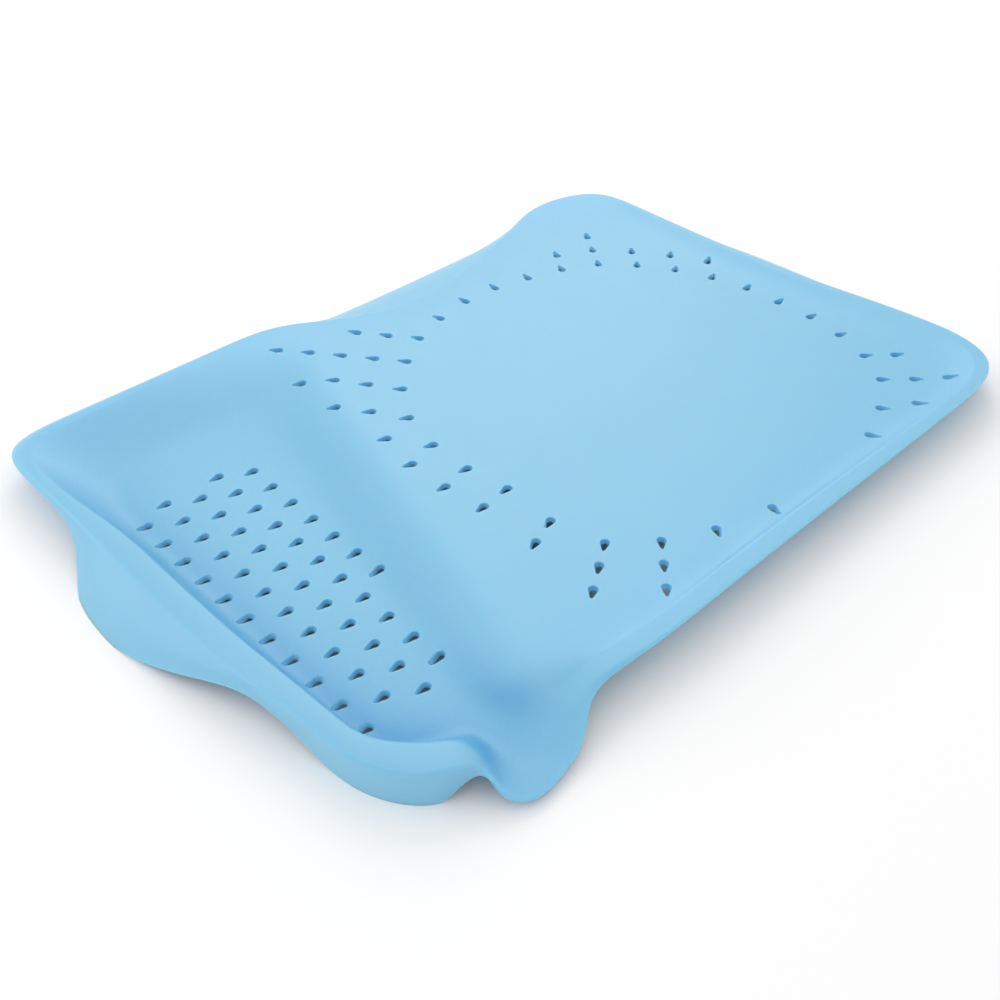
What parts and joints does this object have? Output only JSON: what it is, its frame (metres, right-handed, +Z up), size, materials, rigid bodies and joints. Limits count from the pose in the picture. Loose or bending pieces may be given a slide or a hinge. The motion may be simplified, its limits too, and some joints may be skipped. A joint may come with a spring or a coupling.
{
  "type": "dish drainer",
  "caption": "one-piece moulded dish drainer tray: a plate area with drop-shaped drain holes, a sunk cutlery trough with a pouring spout, and a lobed skirt to stand on",
  "frame": {"origin": "on the surface that the drainer stands on, under the centre of its bounding box", "axes": "+X along the length, from the trough end to the far end; +Y across, from the spout side to the rear side; +Z up"},
  "size_m": [0.4494, 0.3136, 0.018],
  "materials": {
    "sky_blue_plastic": "satin"
  },
  "bodies": {
    "root": {"drainer_tray": "sky_blue_plastic"}
  },
  "joints": []
}
